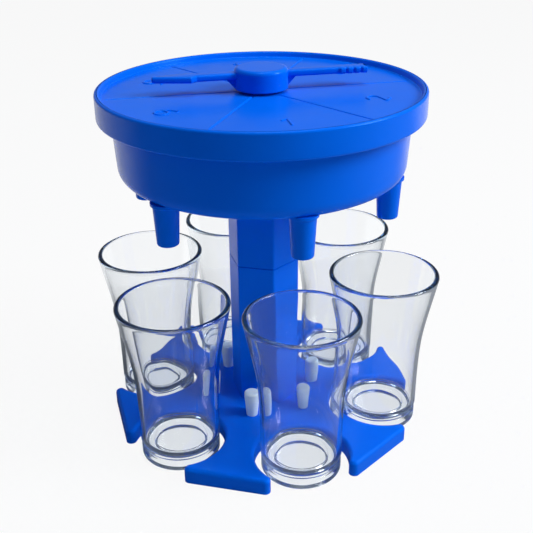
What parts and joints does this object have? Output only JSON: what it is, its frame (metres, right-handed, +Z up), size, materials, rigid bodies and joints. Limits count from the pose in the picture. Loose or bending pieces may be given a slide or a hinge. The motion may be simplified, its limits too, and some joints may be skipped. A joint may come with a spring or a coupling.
{
  "type": "party shot dispenser",
  "caption": "Covered round bowl on a hexagonal column, draining through spouts into clear cups that stand in the notches of a star-shaped base, with a spinning pointer on the lid.",
  "frame": {"origin": "on the column's axis, at the height of the table that the base and the cups stand on", "axes": "+Z up the column's axis; -Y towards cup_1, the cups following every 60 degrees towards +X"},
  "size_m": [0.146, 0.161, 0.1648],
  "materials": {
    "blue_plastic": "glossy moulded blue plastic",
    "clear_acrylic": "polished clear acrylic",
    "milky_silicone": "satin translucent silicone",
    "zinc_steel": "zinc-plated steel"
  },
  "bodies": {
    "stand": {"base": "blue_plastic", "lower_column": "blue_plastic", "base_screw": "zinc_steel"},
    "dispenser": {"upper_column": "blue_plastic", "bowl": "blue_plastic", "bowl_screw": "zinc_steel"},
    "lid": {"lid": "blue_plastic"},
    "pointer": {"pointer": "blue_plastic", "pointer_washer": "zinc_steel", "pointer_screw": "zinc_steel"},
    "cup_1": {"cup_1": "clear_acrylic"},
    "cup_2": {"cup_2": "clear_acrylic"},
    "cup_3": {"cup_3": "clear_acrylic"},
    "cup_4": {"cup_4": "clear_acrylic"},
    "cup_5": {"cup_5": "clear_acrylic"},
    "cup_6": {"cup_6": "clear_acrylic"},
    "stopper_1": {"stopper_1": "milky_silicone"},
    "stopper_2": {"stopper_2": "milky_silicone"},
    "stopper_3": {"stopper_3": "milky_silicone"},
    "stopper_4": {"stopper_4": "milky_silicone"},
    "stopper_5": {"stopper_5": "milky_silicone"},
    "stopper_6": {"stopper_6": "milky_silicone"}
  },
  "joints": [
    {"name": "dispenser_lift", "type": "slide", "parent": "stand", "child": "dispenser", "axis": [0, 0, 1], "range_m": [0, 0.06]},
    {"name": "lid_lift", "type": "slide", "parent": "dispenser", "child": "lid", "axis": [0, 0, 1], "range_m": [0, 0.05]},
    {"name": "pointer_spin", "type": "hinge", "parent": "lid", "child": "pointer", "pos_m": [0, 0, 0.16], "axis": [0, 0, 1], "continuous": true},
    {"name": "cup_1_slide", "type": "slide", "parent": "stand", "child": "cup_1", "axis": [0, -1, 0], "range_m": [0, 0.06]},
    {"name": "cup_2_slide", "type": "slide", "parent": "stand", "child": "cup_2", "axis": [0.866, -0.5, 0], "range_m": [0, 0.06]},
    {"name": "cup_3_slide", "type": "slide", "parent": "stand", "child": "cup_3", "axis": [0.866, 0.5, 0], "range_m": [0, 0.06]},
    {"name": "cup_4_slide", "type": "slide", "parent": "stand", "child": "cup_4", "axis": [0, 1, 0], "range_m": [0, 0.06]},
    {"name": "cup_5_slide", "type": "slide", "parent": "stand", "child": "cup_5", "axis": [-0.866, 0.5, 0], "range_m": [0, 0.06]},
    {"name": "cup_6_slide", "type": "slide", "parent": "stand", "child": "cup_6", "axis": [-0.866, -0.5, 0], "range_m": [0, 0.06]},
    {"name": "stopper_1_pull", "type": "slide", "parent": "stand", "child": "stopper_1", "axis": [0, 0, 1], "range_m": [0, 0.03]},
    {"name": "stopper_2_pull", "type": "slide", "parent": "stand", "child": "stopper_2", "axis": [0, 0, 1], "range_m": [0, 0.03]},
    {"name": "stopper_3_pull", "type": "slide", "parent": "stand", "child": "stopper_3", "axis": [0, 0, 1], "range_m": [0, 0.03]},
    {"name": "stopper_4_pull", "type": "slide", "parent": "stand", "child": "stopper_4", "axis": [0, 0, 1], "range_m": [0, 0.03]},
    {"name": "stopper_5_pull", "type": "slide", "parent": "stand", "child": "stopper_5", "axis": [0, 0, 1], "range_m": [0, 0.03]},
    {"name": "stopper_6_pull", "type": "slide", "parent": "stand", "child": "stopper_6", "axis": [0, 0, 1], "range_m": [0, 0.03]}
  ]
}
